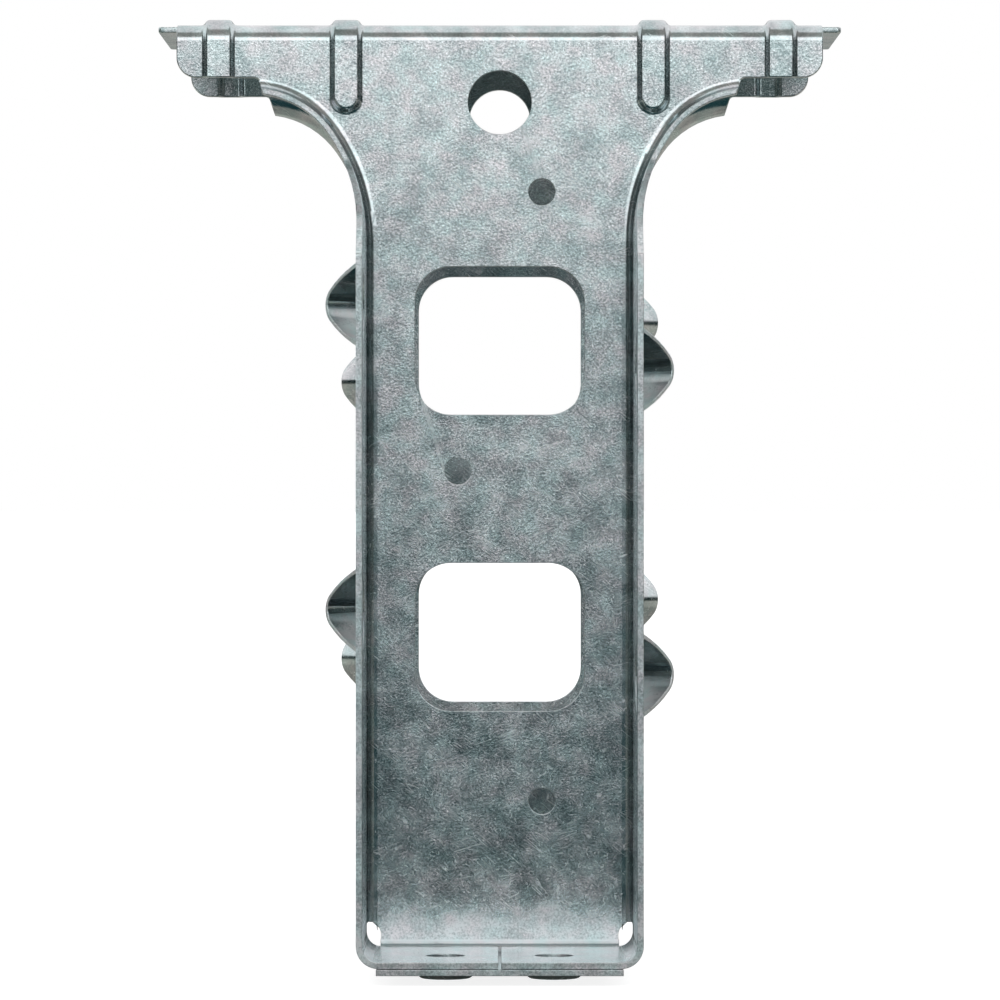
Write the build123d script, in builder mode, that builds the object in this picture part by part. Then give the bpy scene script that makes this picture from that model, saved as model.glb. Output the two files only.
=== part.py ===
"""Two-sided saddle hanger for purlins, folded from one blank of galvanised sheet steel.

The hanger straddles a beam. A flat top flange lies on the beam, a T-shaped plate hangs down each face of it,
and each plate carries a purlin in a channel of two side flanges and a double-layer seat.

Frame: millimetres, +Z up. The origin is the middle of the top flange's underside, where it lies on the beam.
X runs along the beam and Y across it. The part is the same after half a turn about Z, so one half is
modelled, on the side of -Y, and repeated.
"""
import os
from math import atan, atan2, cos, degrees, pi, radians, sin, sqrt, tan

from build123d import *

# The sheet and its folds
sheet = 0.91  # thickness of the blank
fold_in = 1.55  # inside radius of every sharp fold
seat_fold_in = 2.3  # inside radius where the side flanges turn under the purlin
layer_gap = 0.05  # air between the two layers of the seat

# What the hanger fits
beam_width = 39.7  # throat between the plates
purlin_width = 39.7  # channel between the side flanges
seat_drop = 137.0  # from the top of the beam down to the seat
flange_reach = 31.8  # side flanges and seat, from the face of the plate

# The plate's arms and the top flange
arm_half = 48.4
arm_drop = 7.1  # lower edge of the arms, below the top of the beam
arm_corner = 3.0
ear_half = 51.4  # the top flange's ears stand out past the arms
ear_setback = 4.9  # ends of the ears, from the face of the plate
ear_corner = 0.6

# The shoulder curve: two tangent arcs from the arm down to the straight side fold
shoulder_drop = 7.25  # top of the upper arc
shoulder_foot = 31.4  # where the lower arc meets the straight fold
shoulder_upper_radius = 16.45
shoulder_lower_radius = 30.0
shoulder_turn = 89.0  # end of the upper arc, in degrees above its centre

# The lip that the side flange becomes along the shoulder
lip_reach = 3.0  # from the face of the plate
lip_half = 36.2  # where the lip's cut end meets the arm's lower edge
lip_end_lean = 17.5  # of that cut end, in degrees from upright
lip_end_corner = 0.8
slope_top = 19.5  # where the lip starts to grow into the flange, below the top of the beam
slope_bottom = 30.8
flange_chamfer = 4.0  # clipped front corner at the top of the flange

# The seat: two tabs that meet in the middle, over the plate's foot folded forward as a tongue
seat_setback = 1.2  # rear edge of the tabs, from the face of the plate
seat_slit = 0.46  # between the two tabs
tongue_half = 17.85
tongue_overhang = 0.8  # past the front of the tabs
relief_width = 4.3  # corner reliefs, measured across the flat blank
relief_rise = 1.45  # centre of a relief above the seat
relief_foot = 0.7  # straight sides below its round end

# The press joints that hold the seat's two layers together
joint_pitch = 15.875
joint_reach = 18.7  # from the face of the plate
joint_button = 8.2  # diameter of the button under the seat
joint_proud = 1.45
joint_cup = 5.7  # diameter of the cup on the seat
joint_floor = 0.75  # metal left under the cup
joint_bevel = 0.5  # of the button's lower edge

# Openings in the plate
window_width = 25.4
window_height = 22.2
window_corner = 5.4
window_drops = (35.35, 79.75)  # upper edges
bolt_hole = 9.525
bolt_hole_drop = 10.8
nail_hole = 4.0
nail_offset = 6.3  # to the right and to the left in turn
nail_drops = (24.2, 66.0, 115.4)

# Nailing domes, which guide a nail at a slant through the flange and into the beam
dome_mouth_reach = 25.9  # foot of the mouth, from the face of the plate
dome_slant = 45.0  # of the nail's path, in degrees from the flange
dome_foot = 12.2  # height of the mouth at the flange
dome_rise = 4.77  # ridge above the flange's outer face
dome_crown = 3.3  # outer radius of the rounded ridge, square to the slant
dome_crown_turn = 45.0  # from the ridge to where each flank begins, in degrees
dome_wall = 0.58  # the skin is stretched thinner than the sheet
dome_drops_left = (41.9, 86.35)
dome_drops_right = (51.35, 95.8)

# Stiffening beads, pressed outwards, over the top flange and down both plates
bead_width = 4.75
bead_top_width = 3.5
bead_height = 0.83
bead_inner_offset = 23.0
bead_outer_offset = 42.1
bead_end_drop = 12.4  # the inner beads end here, and the outer ones run off the arm

# Faces and fold lines that follow from the sizes above
fold_out = fold_in + sheet
plate_back = beam_width / 2
plate_face = plate_back + sheet
flange_inner = purlin_width / 2
flange_outer = flange_inner + sheet
fold_x = flange_inner - fold_in  # the plate is flat up to here
fold_y = plate_face + fold_in  # and the side flange from here on
front_y = plate_face + flange_reach
tongue_top = seat_drop + sheet + layer_gap
tongue_under = tongue_top + sheet
tongue_front = front_y + tongue_overhang
relief_drop = seat_drop - relief_rise
past = 5.0  # how far a cut runs past the metal

# Centres of the two shoulder arcs, as X and Z, and the angle at which they meet
lower_centre = (fold_x + shoulder_lower_radius, -shoulder_foot)
arc_drop = shoulder_foot - shoulder_drop - shoulder_upper_radius
arc_step = shoulder_lower_radius - shoulder_upper_radius
upper_centre = (lower_centre[0] - sqrt(arc_step**2 - arc_drop**2), -shoulder_drop - shoulder_upper_radius)
meeting_angle = degrees(atan2(arc_drop, lower_centre[0] - upper_centre[0]))
shoulder_end = (
    upper_centre[0] - shoulder_upper_radius * cos(radians(shoulder_turn)),
    upper_centre[1] + shoulder_upper_radius * sin(radians(shoulder_turn)),
)

os.makedirs("parts", exist_ok=True)


def shoulder_arcs(inset):
    """The two shoulder arcs, from the straight fold up to the arm, at a distance inside the fold line."""
    upper_turn = shoulder_turn - meeting_angle
    CenterArc(lower_centre, shoulder_lower_radius - inset, 180, -meeting_angle)
    CenterArc(upper_centre, shoulder_upper_radius - inset, 180 - meeting_angle, -upper_turn)


def seat_line():
    """Upper surface of a seat tab, from the flange round the fold to the slit."""
    CenterArc((flange_inner - seat_fold_in, -seat_drop + seat_fold_in), seat_fold_in, 0, -90)
    Line((flange_inner - seat_fold_in, -seat_drop), (seat_slit / 2, -seat_drop))


def bead(width, top_width, face, fold_radius, run, round_end):
    """One bead along half of the saddle: over the top flange, round the fold and down the plate.

    It stands on a face of the sheet, given by that face's distance in front of the origin on the plate.
    """
    base = face - plate_back
    root = sheet / 4
    with BuildPart() as ridge:
        with BuildLine(Plane.YZ) as saddle_line:
            FilletPolyline((0, base), (-face, base), (-face, -run), radius=fold_radius)
        with BuildSketch(Plane.XZ):
            with BuildLine():
                Polyline(
                    (-width / 2, base - root),
                    (-width / 2, base),
                    (-top_width / 2, base + bead_height),
                    (top_width / 2, base + bead_height),
                    (width / 2, base),
                    (width / 2, base - root),
                    close=True,
                )
            make_face()
        sweep(path=saddle_line.line)
        if round_end:
            with BuildSketch(Plane.XZ.offset(face)):
                with Locations((0, -run)):
                    Circle(width / 2)
            extrude(amount=-root)
            with Locations(Plane.XZ.offset(face).location * Location((0, -run, bead_height / 2))):
                Cone(width / 2, top_width / 2, bead_height)
    return ridge.part


def dome_body(wall, lead):
    """A nailing dome on the right-hand flange as a solid: an arch that runs aslant through the flange.

    Its section, square to the slant, has a rounded crown and two slightly rounded flanks, which are carried on
    below the flange's outer face. It can be smaller by a wall all round and start a length ahead of the mouth.
    """
    slant = radians(dome_slant)
    root = 2 * sheet
    mouth = Plane(
        origin=(flange_outer, -plate_face - dome_mouth_reach, 0),
        x_dir=(cos(slant), sin(slant), 0),
        z_dir=(sin(slant), -cos(slant), 0),
    )
    with BuildPart() as body:
        with BuildSketch(mouth.offset(lead)):
            with BuildLine():
                crown = JernArc((dome_rise / cos(slant), 0), (0, 1), dome_crown, dome_crown_turn)
                flank = TangentArc(crown @ 1, (0, dome_foot / 2), tangent=crown % 1)
                side = Line(flank @ 1, flank @ 1 + root * (flank % 1))
                Line(side @ 1, ((side @ 1).X, 0))
                mirror(about=Plane.XZ)
            make_face()
            if wall:
                offset(amount=-wall, mode=Mode.REPLACE)
        extrude(amount=-lead - (dome_rise + sheet) / sin(slant))
    return body.part


# The strip that runs over the beam and down one face of it: half of the top flange, the plate as wide as the
# arms, and the plate's foot folded forward under the seat
with BuildPart() as hanger:
    with BuildSketch(Plane.YZ):
        with BuildLine():
            FilletPolyline(
                (0, 0),
                (-plate_back, 0),
                (-plate_back, -tongue_under),
                (-tongue_front, -tongue_under),
                radius=(fold_in, fold_out),
            )
            offset(amount=sheet, side=Side.RIGHT)
        make_face()
    extrude(amount=arm_half, both=True)

    # What is cut away beside the column: the plate ends at the fold line of the side flanges
    with BuildSketch(Plane.XZ):
        with BuildLine():
            shoulder_arcs(0)
            Polyline(
                (fold_x, -shoulder_foot),
                (fold_x, -relief_drop),
                (tongue_half, -relief_drop),
                (tongue_half, -tongue_under - past),
                (arm_half + past, -tongue_under - past),
                (arm_half + past, -arm_drop),
                (shoulder_end[0], -arm_drop),
                shoulder_end,
            )
        make_face()
        mirror(about=Plane.YZ)
    extrude(amount=tongue_front + past, mode=Mode.SUBTRACT)
    end_faces = hanger.faces().filter_by(Axis.X).sort_by(Axis.X)
    arm_ends = (end_faces[0], end_faces[-1])
    fillet([face.edges().filter_by(Axis.Y).sort_by(Axis.Z)[0] for face in arm_ends], arm_corner)

    # Ears of the top flange
    with BuildSketch():
        RectangleRounded(2 * ear_half, 2 * (plate_face - ear_setback), ear_corner)
    extrude(amount=sheet)

# The fold between plate and side flange: a quarter ring swept up the straight fold and round the shoulder
with BuildPart() as side_fold:
    with BuildLine(Plane.XZ) as fold_line:
        Line((fold_x, -relief_drop - relief_foot), (fold_x, -shoulder_foot))
        shoulder_arcs(0)
    with BuildSketch(Plane.XY.offset(-relief_drop - relief_foot)):
        with BuildLine():
            inside = CenterArc((fold_x, -fold_y), fold_in, 0, 90)
            outside = CenterArc((fold_x, -fold_y), fold_out, 0, 90)
            Line(inside @ 0, outside @ 0)
            Line(inside @ 1, outside @ 1)
        make_face()
    sweep(path=fold_line.line)

# The flange in front of that fold, with the tab that turns under the purlin
with BuildPart() as side_flange:
    with BuildSketch(Plane.XZ.offset(fold_y)):
        with BuildLine():
            shoulder_arcs(fold_in)
            Line((flange_inner, -shoulder_foot), (flange_inner, -seat_drop + seat_fold_in))
            seat_line()
            offset(amount=sheet, side=Side.RIGHT)
        make_face()
    extrude(amount=front_y - fold_y)
    # The tab alone reaches back to the plate
    with BuildSketch(Plane.XZ.offset(plate_face + seat_setback)):
        with BuildLine():
            seat_line()
            offset(amount=sheet, side=Side.LEFT)
        make_face()
    extrude(amount=fold_in - seat_setback)

    # Its upper edge, seen from the side: level along the lip, then a slope and a clipped corner
    with BuildSketch(Plane.YZ):
        with BuildLine():
            Polyline(
                (-plate_face - lip_reach, 0),
                (-plate_face - lip_reach, -slope_top),
                (-front_y + flange_chamfer, -slope_bottom),
                (-front_y, -slope_bottom - flange_chamfer),
                (-front_y - past, -slope_bottom - flange_chamfer),
                (-front_y - past, 0),
                close=True,
            )
        make_face()
    extrude(amount=arm_half, mode=Mode.SUBTRACT)

# A corner relief is a round-ended hole over the side fold in the blank, so each of its three parts, in the
# fold, the plate and the flange, is cut square to the sheet
half_fold = (fold_in + sheet / 2) * pi / 4
relief_radius = relief_width / 2
chord_half = (fold_in + sheet / 2 + relief_radius - half_fold) / sqrt(2)
with BuildPart() as relief:
    with BuildSketch(Plane(origin=(fold_x, -fold_y, -relief_drop), x_dir=(1, -1, 0), z_dir=(1, 1, 0))):
        Ellipse(chord_half, relief_radius)
        Rectangle(2 * chord_half, relief_foot, align=(Align.CENTER, Align.MIN))
    extrude(amount=2 * fold_out)
    with Locations((fold_x, -fold_y, -relief_drop)):
        Box(past, past, past, align=(Align.MIN, Align.MIN, Align.CENTER), mode=Mode.INTERSECT)
    with BuildSketch(Plane.XZ.offset(plate_back)):
        with Locations((fold_x + half_fold, -relief_drop)):
            Circle(relief_radius)
        with Locations((fold_x, -relief_drop)):
            Rectangle(relief_width, 2 * relief_width, align=(Align.MAX, Align.CENTER), mode=Mode.INTERSECT)
    extrude(amount=sheet)
    with BuildSketch(Plane.YZ.offset(fold_x)):
        with Locations((-fold_y + half_fold, -relief_drop)):
            Circle(relief_radius)
            Rectangle(relief_width, relief_foot, align=(Align.CENTER, Align.MAX))
        with Locations((-fold_y, -relief_drop)):
            Rectangle(relief_width, 2 * relief_width, align=(Align.MAX, Align.CENTER), mode=Mode.INTERSECT)
    extrude(amount=fold_out + sheet)

# The lip ends in a leaning cut, rounded where it meets the arm's lower edge
trim_drop = arm_drop + 2 * fold_out
trim_lean = (trim_drop - arm_drop) * tan(radians(lip_end_lean))
with BuildPart() as lip_trim:
    with BuildSketch(Plane.XZ.offset(plate_back)) as trim_outline:
        with BuildLine():
            Polyline(
                (lip_half, -arm_drop),
                (lip_half - trim_lean, -trim_drop),
                (lip_half + past, -trim_drop),
                (lip_half + past, -arm_drop),
                close=True,
            )
        make_face()
        fillet(trim_outline.vertices().sort_by_distance((lip_half, -arm_drop))[0], lip_end_corner)
    extrude(amount=lip_reach + past)

# Nailing domes: the skin stands outside the flange, and its hollow opens into the channel and at the mouth
with BuildPart() as dome:
    add(dome_body(0, 0))
    split(bisect_by=Plane.YZ.offset(flange_outer - sheet / 2), keep=Keep.TOP)
with BuildPart() as dome_hollow:
    add(dome_body(dome_wall, sheet))
    split(bisect_by=Plane.XZ.offset(plate_face + dome_mouth_reach), keep=Keep.BOTTOM)

# Beads: the ridge outside and the groove inside, with the wall kept at the sheet's thickness
wall_lean = atan(2 * bead_height / (bead_width - bead_top_width))
groove_shrink = 2 * sheet * tan(wall_lean / 2)
groove_width = bead_width - groove_shrink
groove_top_width = bead_top_width - groove_shrink
inner_run = bead_end_drop - bead_width / 2
inner_ridge = bead(bead_width, bead_top_width, plate_face, fold_out, inner_run, True)
inner_groove = bead(groove_width, groove_top_width, plate_back, fold_in, inner_run, True)
outer_ridge = bead(bead_width, bead_top_width, plate_face, fold_out, arm_drop, False)
outer_groove = bead(groove_width, groove_top_width, plate_back, fold_in, arm_drop + past, False)

# Everything comes together on one side of the saddle
with BuildPart() as half_saddle:
    add(hanger.part)
    for piece in (side_fold.part, side_flange.part):
        add(piece)
        mirror(piece, about=Plane.YZ)
    for cutter in (relief.part, lip_trim.part):
        add(cutter, mode=Mode.SUBTRACT)
        mirror(cutter, about=Plane.YZ, mode=Mode.SUBTRACT)

    # Windows, bolt hole and nail holes in the plate
    with BuildSketch(Plane.XZ):
        with Locations(*[(0, -drop - window_height / 2) for drop in window_drops]):
            RectangleRounded(window_width, window_height, window_corner)
        with Locations((0, -bolt_hole_drop)):
            Circle(bolt_hole / 2)
        with Locations(*[(nail_offset * (-1) ** row, -drop) for row, drop in enumerate(nail_drops)]):
            Circle(nail_hole / 2)
    extrude(amount=fold_y, mode=Mode.SUBTRACT)

    # Press joints: a disc through both layers, standing proud below, with a cup pressed into it from above
    button_under = tongue_under + joint_proud
    with BuildSketch(Plane.XY.offset(-button_under)):
        with Locations((0, -plate_face - joint_reach)):
            with GridLocations(joint_pitch, 0, 2, 1):
                Circle(joint_button / 2)
    extrude(amount=button_under - seat_drop - sheet / 2)
    chamfer(half_saddle.edges().group_by(Axis.Z)[0], joint_bevel)
    with BuildSketch(Plane.XY.offset(-seat_drop)):
        with Locations((0, -plate_face - joint_reach)):
            with GridLocations(joint_pitch, 0, 2, 1):
                Circle(joint_cup / 2)
    extrude(amount=-(button_under - joint_floor - seat_drop), mode=Mode.SUBTRACT)

    # Nailing domes
    for drop in dome_drops_right:
        with Locations((0, 0, -drop)):
            add(dome.part)
            add(dome_hollow.part, mode=Mode.SUBTRACT)
    for drop in dome_drops_left:
        with Locations((0, 0, -drop)):
            add(mirror(dome.part, about=Plane.YZ, mode=Mode.PRIVATE))
            add(mirror(dome_hollow.part, about=Plane.YZ, mode=Mode.PRIVATE), mode=Mode.SUBTRACT)

    # Beads
    for offset_x, ridge, groove in (
        (bead_inner_offset, inner_ridge, inner_groove),
        (bead_outer_offset, outer_ridge, outer_groove),
    ):
        with Locations((-offset_x, 0, 0), (offset_x, 0, 0)):
            add(ridge)
            add(groove, mode=Mode.SUBTRACT)

# The other side is the same half turned about Z
with BuildPart() as saddle_hanger:
    with PolarLocations(0, 2):
        add(half_saddle.part)

saddle_hanger.part.label = "saddle_hanger"
export_step(saddle_hanger.part, "parts/saddle_hanger.step")
print("solids", len(saddle_hanger.part.solids()), "volume", round(saddle_hanger.part.volume, 1))
print("size", saddle_hanger.part.bounding_box().size)
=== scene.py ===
# %% [markdown]
# # A galvanised saddle hanger in Blender
#
# The real object is a bracket for timber framing. It is cut from one blank of zinc-coated sheet steel, less
# than a millimetre thick, pressed and folded. It straddles a beam and carries a purlin on each side of it.
#
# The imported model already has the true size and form. This lesson gives it what a photograph shows next to
# that: sheared edges that are slightly rounded, folds that shade smoothly, and a zinc coating with its
# mottled spangle, fine grain and handling scratches.

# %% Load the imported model
from math import radians, tan

import bmesh
import bpy
from mathutils import Matrix, Vector


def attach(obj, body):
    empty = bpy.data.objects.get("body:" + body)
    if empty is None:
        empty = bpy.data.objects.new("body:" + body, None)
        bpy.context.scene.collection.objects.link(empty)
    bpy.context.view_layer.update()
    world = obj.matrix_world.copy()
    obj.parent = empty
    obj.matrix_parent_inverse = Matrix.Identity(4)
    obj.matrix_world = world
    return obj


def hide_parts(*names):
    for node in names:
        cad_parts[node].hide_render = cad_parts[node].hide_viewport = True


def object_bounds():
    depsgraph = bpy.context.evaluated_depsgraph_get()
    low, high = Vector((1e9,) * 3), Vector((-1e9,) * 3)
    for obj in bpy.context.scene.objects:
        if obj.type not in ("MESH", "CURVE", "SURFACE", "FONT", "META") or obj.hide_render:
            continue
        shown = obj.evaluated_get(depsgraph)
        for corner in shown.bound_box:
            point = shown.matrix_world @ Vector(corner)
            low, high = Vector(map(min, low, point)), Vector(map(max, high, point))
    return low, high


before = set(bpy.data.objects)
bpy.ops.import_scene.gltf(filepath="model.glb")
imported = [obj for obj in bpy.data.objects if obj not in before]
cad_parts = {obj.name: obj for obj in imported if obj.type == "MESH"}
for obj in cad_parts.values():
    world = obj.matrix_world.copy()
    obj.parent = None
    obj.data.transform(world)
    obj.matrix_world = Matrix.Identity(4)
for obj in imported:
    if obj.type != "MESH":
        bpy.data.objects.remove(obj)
cad_low, cad_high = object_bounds()
hanger_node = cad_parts["saddle_hanger"]
MM = 0.001
print("The hanger measures", [round(side / MM, 1) for side in cad_high - cad_low], "mm")

# %% [markdown]
# ## The camera
#
# The photograph was taken straight at one side of the hanger, with a long lens from a little under a metre.
# Its perspective was worked out from pairs of edges that are equal on the real object but lie at different
# depths, such as the front and the back window. A camera is placed by that result instead of by eye, so each
# edge of the render can be laid over the photograph.

# %% Place the camera
CAMERA_DISTANCE = 870.75 * MM  # in front of the middle of the beam
CAMERA_HEIGHT = -70.17 * MM  # level with the middle of the plate
PHOTO_WIDTH = 1000  # in pixels, and as high
FOCAL_LENGTH = 5678  # in the same pixels
LENS_AXIS = (499.75, 499.0)  # the pixel that the lens points at
SENSOR = 36  # in millimetres

camera_data = bpy.data.cameras.new("camera")
camera_data.sensor_width = SENSOR
camera_data.lens = SENSOR * FOCAL_LENGTH / PHOTO_WIDTH
camera_data.shift_x = (PHOTO_WIDTH / 2 - LENS_AXIS[0]) / PHOTO_WIDTH
camera_data.shift_y = (LENS_AXIS[1] - PHOTO_WIDTH / 2) / PHOTO_WIDTH
camera_data.clip_start = 0.01
camera = bpy.data.objects.new("camera", camera_data)
camera.location = (0, -CAMERA_DISTANCE, CAMERA_HEIGHT)
camera.rotation_euler = (radians(90), 0, 0)
bpy.context.scene.collection.objects.link(camera)
bpy.context.scene.camera = camera
print("The lens is", round(camera_data.lens, 1), "mm long")

# %% [markdown]
# ## Shader maths as Python
#
# A zinc finish is a sum of several patterns. In the node editor that is a page of boxes and wires, and in
# Python it can be an expression. `Wire` wraps one output socket and turns `+`, `-`, `*`, `<` and `>` into
# Math nodes. `Bench` wraps the node tree, and its method `add` makes any other node.

# %% A wire that can be reckoned with


class Wire:
    """An output socket of a shader node, with the operators that the recipes below use."""

    def __init__(self, bench, socket):
        self.bench = bench
        self.socket = socket

    def math(self, operation, *values):
        return self.bench.add("ShaderNodeMath", {"operation": operation}, dict(enumerate(values)))

    def __add__(self, other):
        return self.math("ADD", self, other)

    __radd__ = __add__

    def __sub__(self, other):
        return self.math("SUBTRACT", self, other)

    def __rsub__(self, other):
        return self.math("SUBTRACT", other, self)

    def __mul__(self, other):
        return self.math("MULTIPLY", self, other)

    __rmul__ = __mul__

    def __gt__(self, limit):
        return self.math("GREATER_THAN", self, limit)

    def __lt__(self, limit):
        return self.math("LESS_THAN", self, limit)

    def __abs__(self):
        return self.math("ABSOLUTE", self)

    def rise(self, start, end):
        """0 on one side of the start and 1 on the far side of the end, with a straight ramp between."""
        inputs = {"Value": self, "From Min": start, "From Max": end}
        return self.bench.add("ShaderNodeMapRange", {"clamp": True}, inputs, "Result")


# %% A bench that adds nodes


class Bench:
    """The node tree of one material or of the world, emptied at the start."""

    def __init__(self, owner):
        owner.use_nodes = True
        self.tree = owner.node_tree
        self.tree.nodes.clear()

    def add(self, kind, settings, inputs, output=0):
        """Adds a node, sets it up, fills its sockets with values or wires, and gives one of its outputs."""
        node = self.tree.nodes.new(kind)
        for name, value in settings.items():
            setattr(node, name, value)
        for name, value in inputs.items():
            if isinstance(value, Wire):
                self.tree.links.new(value.socket, node.inputs[name])
            else:
                node.inputs[name].default_value = value
        if node.outputs:
            return Wire(self, node.outputs[output])

    def blend(self, share, first, second, way="MIX"):
        """Mixes two colours. They go in at the Mix node's sockets 6 and 7, and come out of its output 2."""
        settings = {"data_type": "RGBA", "blend_type": way}
        return self.add("ShaderNodeMix", settings, {0: share, 6: first, 7: second}, 2)

    def vector(self, operation, first, second):
        return self.add("ShaderNodeVectorMath", {"operation": operation}, {0: first, 1: second})

    def noise(self, place, size, detail, roughness=0.5, distortion=0.0):
        """A cloudy pattern with blobs of about the given size, in millimetres."""
        inputs = {
            "Vector": place,
            "Scale": 1 / size,
            "Detail": detail,
            "Roughness": roughness,
            "Distortion": distortion,
        }
        return self.add("ShaderNodeTexNoise", {}, inputs)


# %% [markdown]
# ## The studio
#
# The photograph has a pure white ground with no horizon. A floor that is lit until it clips would throw that
# light back at the metal. So the floor and the world are white only to the camera, to reflections and through
# glass, and diffuse light sees a plain pale studio. The floor keeps the hanger's soft shadow.

# %% World
WHITE = (1, 1, 1, 1)
DIFFUSE_SHARE = 0.75  # of the world's white, as diffuse light sees it


def shown_directly(bench):
    """1 for rays from the camera, from a reflection or through glass, and 0 for diffuse light."""
    rays = bench.tree.nodes.new("ShaderNodeLightPath").outputs
    camera_ray, glossy_ray, glass_ray = (
        Wire(bench, rays[f"Is {kind} Ray"]) for kind in ("Camera", "Glossy", "Transmission")
    )
    return (camera_ray + glossy_ray + glass_ray).rise(0, 1)


world = bpy.data.worlds.new("studio")
sky = Bench(world)
ambient = DIFFUSE_SHARE + (1 - DIFFUSE_SHARE) * shown_directly(sky)
daylight = sky.add("ShaderNodeBackground", {}, {"Color": WHITE, "Strength": ambient})
sky.add("ShaderNodeOutputWorld", {}, {"Surface": daylight})
world.cycles.sampling_method = "NONE"
bpy.context.scene.world = world
print("The world has", len(sky.tree.nodes), "nodes")

# %% Floor
FLOOR_SIZE = 60  # in metres
FLOOR_DROP = 0.02 * MM  # below the buttons that the hanger stands on
FLOOR_GREY = (0.5, 0.5, 0.5, 1)
FLOOR_GLOW = 0.85  # with the light on its grey this is white to the camera


def finish(bench, shader):
    bench.add("ShaderNodeOutputMaterial", {}, {"Surface": shader})


bpy.ops.mesh.primitive_plane_add(size=FLOOR_SIZE, location=(0, 0, cad_low.z - FLOOR_DROP))
floor = bpy.context.object
floor.name = "floor"

floor_material = bpy.data.materials.new("pale_floor")
bench = Bench(floor_material)
paper = bench.add("ShaderNodeBsdfDiffuse", {}, {"Color": FLOOR_GREY})
glow = bench.add("ShaderNodeEmission", {}, {"Color": WHITE, "Strength": FLOOR_GLOW * shown_directly(bench)})
finish(bench, bench.add("ShaderNodeAddShader", {}, {0: paper, 1: glow}))
floor.data.materials.append(floor_material)
print("The floor is", FLOOR_SIZE, "m wide, at", round(floor.location.z / MM, 2), "mm")

# %% [markdown]
# ## Cards
#
# Metal shows what stands around it more than it shows lamps. On the plate of the photographed hanger the grey
# falls from light to dark between top and foot. Seen through the plate as a mirror those are directions less
# than ten degrees apart, so a bright wall must meet a dark table about level with the lens. The dark inner
# walls ask for dark sides, and the dull line along the top fold for a dull ceiling above the camera.
#
# Each card is an edge between two points, spun about the Z axis: an upright edge makes a strip of a cylinder,
# and a level one makes a ring on the floor. Round cards have no corners that show up in the metal. Their
# limits are angles seen from the hanger, with the lens at 0, as a photographer would point at them.

# %% A card
cards = []


def card(name, shape, colour, glow=1.0):
    """A card that the metal reflects, but that the camera doesn't see and that throws no shadow."""
    mesh = bpy.data.meshes.new(name)
    shape.to_mesh(mesh)
    shape.free()
    board = bpy.data.objects.new(name, mesh)
    board.visible_camera = False
    board.visible_diffuse = False
    board.visible_shadow = False
    bpy.context.scene.collection.objects.link(board)
    material = bpy.data.materials.new(name)
    material.cycles.emission_sampling = "NONE"
    card_bench = Bench(material)
    finish(card_bench, card_bench.add("ShaderNodeEmission", {}, {"Color": (*colour, 1), "Strength": glow}))
    mesh.materials.append(material)
    cards.append(board)


# %% The shapes of cards
CARD_STEP = 5  # degrees between the edges of a card
CARD_LIFT = 0.05 * MM  # of a ring above the foot of the hanger
FULL_TURN = 360


def swept(edge, start, end):
    """Spins an edge about the Z axis, from one angle to another. The edge is two points in front."""
    shape = bmesh.new()
    turn = Matrix.Rotation(radians(start), 3, "Z")
    points = [shape.verts.new(turn @ Vector(point)) for point in edge]
    bmesh.ops.spin(
        shape,
        geom=points + [shape.edges.new(points)],
        axis=(0, 0, 1),
        cent=(0, 0, 0),
        angle=radians(end - start),
        steps=round((end - start) / CARD_STEP),
        use_merge=end - start == FULL_TURN,
    )
    return shape


def strip(radius, lowest, highest, start, end):
    """Stands at a radius in metres, between two angles of height as seen from the middle of the plate."""
    heights = [CAMERA_HEIGHT + radius * tan(radians(angle)) for angle in (lowest, highest)]
    return swept([(0, -radius, height) for height in heights], start, end)


def ring(inner, outer, start=0, end=FULL_TURN):
    """Lies just above the floor, between two radii in metres."""
    return swept([(0, -radius, cad_low.z + CARD_LIFT) for radius in (inner, outer)], start, end)


# %% [markdown]
# ## The table
#
# Under and beside the hanger the table is what the folds, the buttons and the domes reflect. It is dark and
# bluish in front, where the plate mirrors it, and beige nearer by at the sides and behind. Eight rings or
# parts of rings give that, each with its own grey, and the outer ones reach as far as the wall.

# %% Table
FRONT = 38  # degrees to each side, which the bright wall and the dark table fill
BEHIND = 130  # from here round the back
FOOT_EDGE = 0.056  # radii in metres, from the hanger outwards
FRONT_NEAR_EDGE = 0.10
NEAR_EDGE = 0.14
BEIGE_EDGE = 0.8
TABLE_EDGE = 3.0
DARK = (0.016, 0.052, 0.058)
SIDE = (0.012, 0.026, 0.026)
BACK = (0.3, 0.31, 0.31)
HANDS = {"left": -1, "right": 1}

# A dark ring under the hanger stands in for its shadow on the floor: a painted shadow that only reflections
# show.
card("painted_shadow_under_part", ring(MM, FOOT_EDGE), (0.05, 0.055, 0.05))
card("near_table_front", ring(FOOT_EDGE, FRONT_NEAR_EDGE, -FRONT, FRONT), (0.12, 0.13, 0.12))
card("near_table", ring(FOOT_EDGE, NEAR_EDGE, FRONT, FULL_TURN - FRONT), (0.30, 0.30, 0.27))
card("beige_table", ring(NEAR_EDGE, BEIGE_EDGE, FRONT, FULL_TURN - FRONT), (0.46, 0.46, 0.41))
card("dark_table", ring(FRONT_NEAR_EDGE, TABLE_EDGE, -FRONT, FRONT), DARK)
for hand, way in HANDS.items():
    card(f"side_table_{hand}", ring(BEIGE_EDGE, TABLE_EDGE, *sorted((way * FRONT, way * BEHIND))), SIDE)
card("back_table", ring(BEIGE_EDGE, TABLE_EDGE, BEHIND, FULL_TURN - BEHIND), BACK)
print("The table is made of", len(cards), "cards")

# %% [markdown]
# ## Walls and ceiling
#
# The bright wall starts a few degrees above the lens, on a dark skirting that stands on the table's edge. Its
# light on the upper half of the plate is what makes the grey fall towards the foot. The sides are dark below
# and dull above, which draws the channel's inner walls and the flanges' edges.

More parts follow.
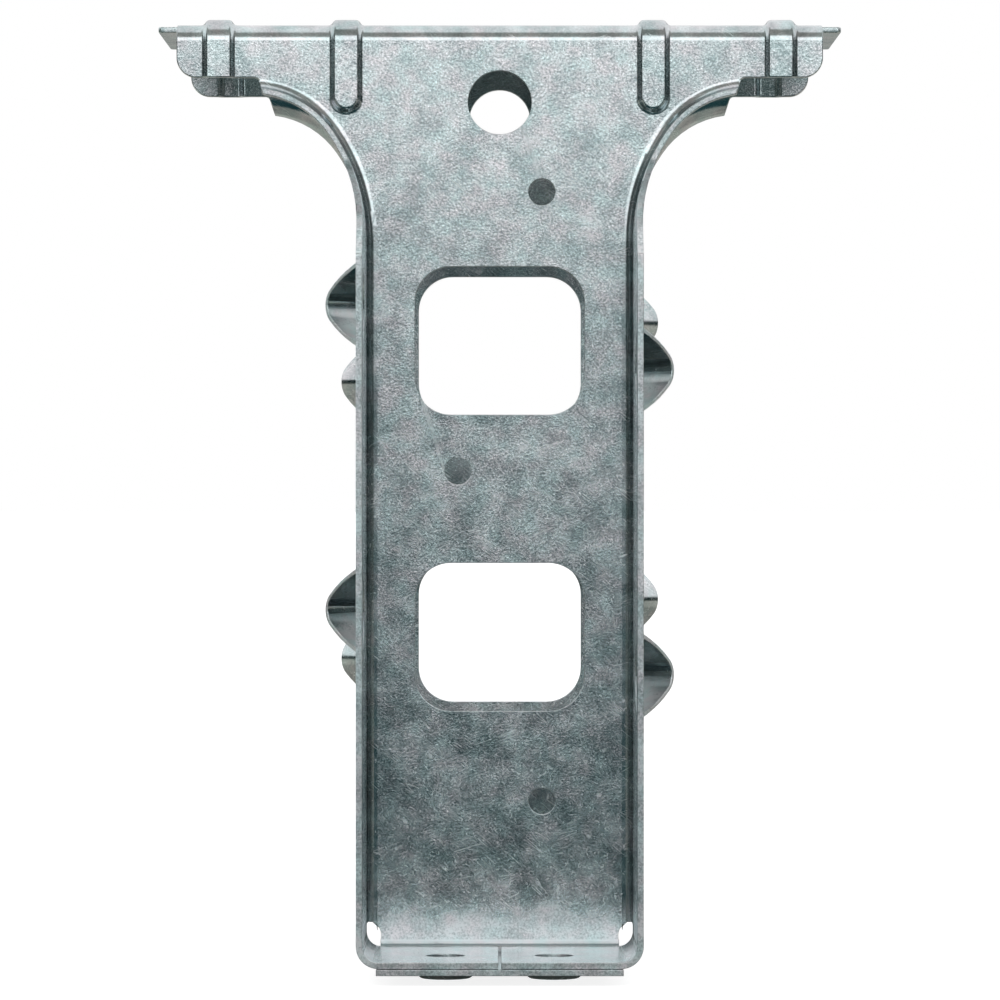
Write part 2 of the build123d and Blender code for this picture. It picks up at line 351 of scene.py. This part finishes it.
# %% Walls
SKIRTING_END = 43  # degrees to each side
DULL_END = 88
WALL_FOOT = 4.4  # degrees of height
WALL_TOP = 28.5
WALL_GLOW = 1.7
SIDE_FOOT = -3.2
SIDE_TOP = 9
DULL_TOP = 32
DULL = (0.10, 0.11, 0.11)

card("dark_skirting", strip(TABLE_EDGE, -1.4, WALL_FOOT, -SKIRTING_END, SKIRTING_END), DARK)
card("bright_wall", strip(TABLE_EDGE, WALL_FOOT, WALL_TOP, -FRONT, FRONT), (1, 1, 1), WALL_GLOW)
card("dull_ceiling", strip(1.5, 31, 66, -DULL_END, DULL_END), (0.33, 0.33, 0.31))
for hand, way in HANDS.items():
    dark_span = sorted((way * SKIRTING_END, way * BEHIND))
    dull_span = sorted((way * SKIRTING_END, way * DULL_END))
    card(f"dark_side_{hand}", strip(2.5, SIDE_FOOT, SIDE_TOP, *dark_span), SIDE)
    card(f"dull_side_{hand}", strip(2.6, SIDE_TOP, DULL_TOP, *dull_span), DULL)
card("grey_back", strip(2.5, SIDE_FOOT, 20, BEHIND, FULL_TURN - BEHIND), BACK)
print("With walls and ceiling there are", len(cards), "cards")

# %% [markdown]
# ## The sheet
#
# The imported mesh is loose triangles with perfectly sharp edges, and it stays as it is. The visible sheet is a
# copy of it. Its triangles are welded, and those that lie in one plane are joined, so that a bevel meets long
# clean edges instead of fans of triangles.
#
# Beside each rear corner of a seat the sheet has a round relief, which lets it fold both ways without
# tearing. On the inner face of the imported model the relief's edge runs low next to the fold, so it is first
# drawn up to the curve that it has on the outer face.

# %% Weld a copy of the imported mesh
WELD = 0.03 * MM
FLAT = radians(0.4)
RELIEF_X = (18.45, 19.4)  # from the middle, in millimetres, up to where the relief is highest
RELIEF_Y = (19.8, 20.4)  # the inner face and the start of its fold
RELIEF_Z = (133.3, 134.6)  # below the top of the beam
RELIEF_TOP = 133.4
RELIEF_FALL = 0.39  # in millimetres, at one millimetre beside its highest place


def draw_up_reliefs(shape):
    for vertex in shape.verts:
        place = [abs(value) / MM for value in vertex.co]
        spans = (RELIEF_X, RELIEF_Y, RELIEF_Z)
        if all(low < value < high for value, (low, high) in zip(place, spans)):
            aside = RELIEF_X[1] - place[0]
            vertex.co.z = -MM * min(place[2], RELIEF_TOP + RELIEF_FALL * aside**2)


sheet_mesh = hanger_node.data.copy()
sheet_mesh.name = "folded_sheet"
shape = bmesh.new()
shape.from_mesh(sheet_mesh)
triangle_count = len(shape.faces)
draw_up_reliefs(shape)
bmesh.ops.remove_doubles(shape, verts=shape.verts, dist=WELD)
bmesh.ops.dissolve_limit(shape, angle_limit=FLAT, verts=shape.verts, edges=shape.edges)
print(triangle_count, "triangles became", len(shape.faces), "faces")

# %% [markdown]
# ## Bent, cut and hollow
#
# A die smooths the zinc where it bends the sheet, and a shear leaves a dull grey cut. The nailing domes are
# pressed out of the flanges, and in the photograph their hollows are dark mirrors above and dull below. The
# coating has to know these places, so each face carries a number for each of them. What is painted by hand
# would be lost with each new mesh. Here it follows from the faces: narrow faces that turn a little are bent,
# narrow ones with two sharp sides are cut, and those of a hollow face the middle of the hanger.
# In a dome's hollow that number paints light on the lower half and on the rim of the mouth, and shade on the
# upper half.

# %% Mark what was bent and what was cut
SHEARED = radians(66)  # edges sharper than this were cut
BENT = (radians(2), radians(40))  # turns from one facet of a bend to the next
BENT_WIDTH = 0.7 * MM
CUT_WIDTH = 0.95 * MM
TABS_BELOW = -130 * MM  # the seat tabs
FACING_UP = 0.95

bent_faces = shape.faces.layers.float.new("bent")
cut_faces = shape.faces.layers.float.new("cut")
painted_dome_light_faces = shape.faces.layers.float.new("painted_dome_light")
for face in shape.faces:
    turns = [edge.calc_face_angle(0) for edge in face.edges]
    width = 2 * face.calc_area() / sum(edge.calc_length() for edge in face.edges)
    on_seat = face.normal.z > FACING_UP and face.calc_center_median().z < TABS_BELOW
    on_bend = width < BENT_WIDTH and any(BENT[0] < turn < BENT[1] for turn in turns)
    if sum(turn > SHEARED for turn in turns) > 1 and width < CUT_WIDTH:
        face[cut_faces] = 1
    elif on_seat or on_bend:
        face[bent_faces] = 1
for layer in (bent_faces, cut_faces):
    print(sum(face[layer] > 0 for face in shape.faces), "faces are", layer.name)

# %% Mark where light and shade are painted in the domes' hollows
DOMES_OUT = 19.9 * MM  # to the sides
DOMES_Y = (30 * MM, 52 * MM)
DOMES_BELOW = -33 * MM
SLOPING = 0.15
RIM_FACING = 0.5


def painted_dome_light_at(face):
    """1 on the lower half of a hollow and on the rim of its mouth, where light is painted, -1 on the upper
    half, where shade is painted, and 0 elsewhere.
    """
    middle = face.calc_center_median()
    beside_domes = abs(middle.x) > DOMES_OUT and DOMES_Y[0] < abs(middle.y) < DOMES_Y[1]
    if not beside_domes or middle.z > DOMES_BELOW:
        return 0
    inwards = face.normal.x * middle.x < 0
    on_rim = face.normal.x * middle.x > 0 and face.normal.y * middle.y > RIM_FACING * abs(middle.y)
    if on_rim or inwards and face.normal.z > SLOPING:
        return 1
    return -1 if inwards and face.normal.z < -SLOPING else 0


for face in shape.faces:
    face[painted_dome_light_faces] = painted_dome_light_at(face)
print(sum(face[painted_dome_light_faces] != 0 for face in shape.faces), "faces belong to the domes' hollows")

# %% [markdown]
# ## Rounded edges
#
# A shear leaves an edge that is rounded where the blade came in, and that catches a thin line of light. The
# creases of the pressed beads are softer. A Bevel modifier would round every edge alike or none, so the edges
# are chosen by the angle between their faces and bevelled in three goes: creases, the mouths of the domes,
# and all other sheared edges. An edge keeps its sharpness where its neighbours are too short for the bevel,
# because the bevels would cross there.

# %% Round the edges
CREASED = radians(30)
HAIRPIN = radians(170)
CREASE_ROUND = 0.3 * MM
RIM_ROUND = 0.2 * MM
EDGE_ROUND = 0.09 * MM
DOME_REACH = 20.9 * MM  # only domes and arms stand out this far to the sides
ROOM = 1.6  # widths that an unrounded neighbour must be long
SHARED_ROOM = 0.3  # and one that is rounded in the same go


def round_edges(shape, lowest, highest, width, beyond=0):
    """Bevels the edges whose faces meet at such an angle, where the edges beside them leave room for it."""
    chosen = {edge for edge in shape.edges if len(edge.link_faces) == 2}
    chosen = {edge for edge in chosen if lowest <= edge.calc_face_angle(0) < highest}
    chosen = {edge for edge in chosen if min(abs(vertex.co.x) for vertex in edge.verts) >= beyond}

    def has_room(edge):
        neighbours = {other for vertex in edge.verts for other in vertex.link_edges}
        needed = {other: (SHARED_ROOM if other in chosen else ROOM) * width for other in neighbours}
        return all(other.calc_length() >= needed[other] for other in neighbours)

    roomy = [edge for edge in chosen if has_room(edge)]
    bmesh.ops.bevel(
        shape,
        geom=roomy,
        affect="EDGES",
        offset=width,
        segments=2,
        profile=0.5,
        material=-1,
        clamp_overlap=False,
    )
    print("Rounded", len(roomy), "of", len(chosen), "edges by", round(width / MM, 2), "mm")


round_edges(shape, CREASED, SHEARED, CREASE_ROUND)
round_edges(shape, SHEARED, HAIRPIN, RIM_ROUND, beyond=DOME_REACH)
round_edges(shape, SHEARED, HAIRPIN, EDGE_ROUND)

# %% [markdown]
# ## Smooth shading
#
# Smooth shading blends the directions of neighbouring faces, so a flat flange next to a small bevel would
# look dented. The Weighted Normal modifier lets chosen faces lead: at the rim of a large flat face, only that
# face sets the direction. Which faces lead is a number on each face, under the name that the modifier reads.
# Edges stay sharp where the angle is too wide for a bevel's facets, and sooner beside a large flat face.

# %% Shade the sheet
LEADING_AREA = 4 * MM * MM
LEADING = 16384  # the modifier's own number for a strong face
SHARP = radians(48)  # a bevel's two facets meet at half a right angle
SHARP_BESIDE_FLAT = radians(35)

bmesh.ops.dissolve_degenerate(shape, dist=0.001 * MM, edges=shape.edges)
strength = shape.faces.layers.int.new("__mod_weightednormals_faceweight")
for face in shape.faces:
    face.smooth = True
    face[strength] = LEADING if face.calc_area() > LEADING_AREA else 0
for edge in shape.edges:
    beside_flat = any(face.calc_area() > LEADING_AREA for face in edge.link_faces)
    edge.smooth = edge.calc_face_angle(0) < (SHARP_BESIDE_FLAT if beside_flat else SHARP)
shape.to_mesh(sheet_mesh)
shape.free()
sheet = bpy.data.objects.new("folded_sheet", sheet_mesh)
bpy.context.scene.collection.objects.link(sheet)
shading = sheet.modifiers.new("flat_faces_lead", "WEIGHTED_NORMAL")
shading.keep_sharp = True
shading.use_face_influence = True
print("The sheet has", len(sheet_mesh.polygons), "faces")

# %% [markdown]
# ## The zinc coating
#
# Hot zinc freezes on steel as a spangle: clouds a few millimetres wide, light and dark, with a fine grain in
# them that scatters the light. A photograph of zinc would need the sheet unwrapped, with a seam somewhere.
# Noise in Object coordinates has none, because it fills space and the sheet is cut out of it.
#
# Three patterns are enough: the clouds, a second set of clouds for the faint change between a cool and a warm
# grey, and the grain. On bent metal the die has pressed the grain nearly flat.

# %% Spangle and grain
SPANGLE = 5.0  # sizes in millimetres
TINT_PATCH = 3.5
GRAIN = 0.32
TINT_SHIFT = (40, 10, 70)  # takes the tint from another part of the noise than the clouds

galvanised = bpy.data.materials.new("galvanised_sheet")
bench = Bench(galvanised)
coordinates = bench.add("ShaderNodeTexCoord", {}, {}, "Object")
place = bench.vector("MULTIPLY", coordinates, (1 / MM, 1 / MM, 1 / MM))


def mark(layer):
    """The number that each face carries for a layer."""
    return bench.add("ShaderNodeAttribute", {"attribute_name": layer}, {}, "Fac")


bent, cut, painted_dome_light = mark("bent"), mark("cut"), mark("painted_dome_light")
clouds = bench.noise(place, SPANGLE, detail=3.0, roughness=0.6, distortion=0.4)
tint = bench.noise(bench.vector("ADD", place, TINT_SHIFT), TINT_PATCH, detail=2.0)
grain = bench.noise(place, GRAIN, detail=3.0, roughness=0.7, distortion=0.5)
coarse = 1 - 0.7 * bent
print("Spangle and grain take", len(bench.tree.nodes), "nodes")

# %% [markdown]
# ## Wear and painted light
#
# Handling leaves long hairlines in a few directions, and short bright flakes, more of them towards the foot.
# Both are lines where a noise crosses its middle value. For hairlines the noise is turned and drawn out along
# one direction first. For flakes it is distorted until its lines curl, and a second noise breaks them up.
# Painted light pales the foot of the plate and the top of the seat towards the foot, in patches, and a painted
# highlight runs along the fold below the plate. Little light gets into the gap between that fold and the seat,
# and shade is painted there.

# %% Scratches
HAIRLINE_FALLS = {-35: 5, -42: 21, 17: 33}  # degrees, with a shift so that no two patterns are alike
DRAWN_OUT = (0.05, 0.3, 0.9)
HAIRLINE_WIDTH = 0.012
HAIRLINE_PATCH = 4.0
CURL = 2.2
CURL_WIDTH = 0.03
CURL_BREAK = 0.9
BREAK_SHIFT = (7, 3, 11)
PATCH_EDGE = (0.6, 0.66)  # of a noise, so that few patches are left
FLAKES_FROM = (-20, -90)  # few above the first height, all of them below the second
FEW = 0.3


def lines(pattern, width):
    """1 along the lines where a pattern crosses its middle value."""
    return 1 - abs(pattern - 0.5).rise(0, width)


def hairlines(fall, shift):
    """Long fine scratches that fall by an angle in degrees."""
    turned = bench.add(
        "ShaderNodeVectorRotate", {"rotation_type": "Y_AXIS"}, {"Vector": place, "Angle": radians(fall)}
    )
    stretched = bench.vector("MULTIPLY", turned, DRAWN_OUT)
    pattern = bench.noise(bench.vector("ADD", stretched, (shift, 0, 0)), 1.0, detail=1.0)
    patches = bench.noise(bench.vector("ADD", place, (0, shift, 0)), HAIRLINE_PATCH, detail=1.0)
    return lines(pattern, HAIRLINE_WIDTH) * patches.rise(*PATCH_EDGE)


height = bench.add("ShaderNodeSeparateXYZ", {}, {0: place}, "Z")
curls = bench.noise(place, CURL, detail=1.0, distortion=1.6)
breaks = bench.noise(bench.vector("ADD", place, BREAK_SHIFT), CURL_BREAK, detail=1.0)
low_down = height.rise(*FLAKES_FROM)
flakes = lines(curls, CURL_WIDTH) * breaks.rise(*PATCH_EDGE) * (FEW + (1 - FEW) * low_down)
scratches = flakes
for fall, shift in HAIRLINE_FALLS.items():
    scratches = scratches + hairlines(fall, shift)
marks = scratches.rise(0, 1)
print("With scratches there are", len(bench.tree.nodes), "nodes")

# %% Painted light on the foot and the fold, painted shade in the gap
FOOT_LIGHT_HEIGHTS = (-129.5, -136.3)  # heights in millimetres, from no painted light to the full painted light
FOOT_LIGHT_PATCHES = 5  # millimetres by which patches of tint move that
TABS_LEVEL = -137.05  # just under the upper face of the seat tabs
FOLD_TOP, FOLD_FOOT = -136.1, -136.65
GAP_TOP, GAP_FOOT = -136.72, -137.02
FOLD_REACH = 22.2  # from the middle of the beam


def band(low, high):
    """1 between two heights on the fold under the plate."""
    return (height < high) * (height > low) * (from_beam < FOLD_REACH)


from_beam = abs(bench.add("ShaderNodeSeparateXYZ", {}, {0: place}, "Y"))
# Painted light: paler towards the foot of the plate and on the top of the seat, in patches.
foot_painted_light = (height - FOOT_LIGHT_PATCHES * (tint - 0.5)).rise(*FOOT_LIGHT_HEIGHTS) * (height > TABS_LEVEL)
# Painted highlight along the fold under the plate.
fold_highlight = band(FOLD_FOOT, FOLD_TOP)
shaded_gap = band(GAP_FOOT, GAP_TOP)
print("With the foot there are", len(bench.tree.nodes), "nodes")

# %% [markdown]
# ## Colour, dullness and relief
#
# The patterns come together in three places. A tone between dark and pale zinc takes the mottle, the marks, and
# the painted light and shade at the foot, on the fold, in the gap and in the domes' hollows. The dullness
# spreads the reflection where the zinc is frosty, scratched or cut. A bump of a few hundredths of a millimetre
# makes the grain sparkle when the light moves.

# %% Colour
DARK_ZINC = (0.33, 0.38, 0.39, 1)
PALE_ZINC = (0.86, 0.88, 0.89, 1)
COOL = (0.89, 1.0, 1.0, 1)
WARM = (1.0, 0.96, 0.98, 1)
SPANGLE_CONTRAST = 1.5
GRAIN_CONTRAST = 3.0

mottle = (clouds - 0.5) * SPANGLE_CONTRAST + (grain - 0.5) * GRAIN_CONTRAST * coarse
# Real wear from scratches and cut edges, plus painted light on the foot, the seat and the fold.
wear_and_painted_light = 0.35 * marks + 0.1 * cut + (0.26 + 0.2 * bent) * foot_painted_light + fold_highlight
# Painted light on the lower halves and mouth rims of the domes' hollows, and painted shade on their upper
# halves and in the gap under the fold.
tone = (0.5 + mottle + wear_and_painted_light + 0.45 * painted_dome_light - 1.5 * shaded_gap).rise(0, 1)
warmth = bench.blend(tint.rise(0.35, 0.65), COOL, WARM)
zinc = bench.blend(1.0, bench.blend(tone, DARK_ZINC, PALE_ZINC), warmth, "MULTIPLY")
print("With its colour it has", len(bench.tree.nodes), "nodes")

# %% Dullness and grain
GRAIN_DEPTH = 0.04 * MM

frost = 0.05 + 0.22 * clouds + 0.07 * coarse
dullness = frost + 0.12 * foot_painted_light * (1 - bent) + 0.18 * marks + 0.12 * cut + 0.2 * painted_dome_light
bumps = {"Strength": 0.6 * coarse, "Distance": GRAIN_DEPTH, "Height": grain}
sockets = {
    "Base Color": zinc,
    "Metallic": 1.0,
    "Roughness": dullness,
    "Normal": bench.add("ShaderNodeBump", {}, bumps),
}
finish(bench, bench.add("ShaderNodeBsdfPrincipled", {}, sockets))
sheet_mesh.materials.clear()
sheet_mesh.materials.append(galvanised)
print("The coating has", len(bench.tree.nodes), "nodes")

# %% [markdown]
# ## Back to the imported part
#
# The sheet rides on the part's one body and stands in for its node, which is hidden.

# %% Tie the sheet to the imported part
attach(sheet, "root")
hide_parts("saddle_hanger")

# %% Set the view transform
bpy.context.scene.view_settings.view_transform = "Standard"
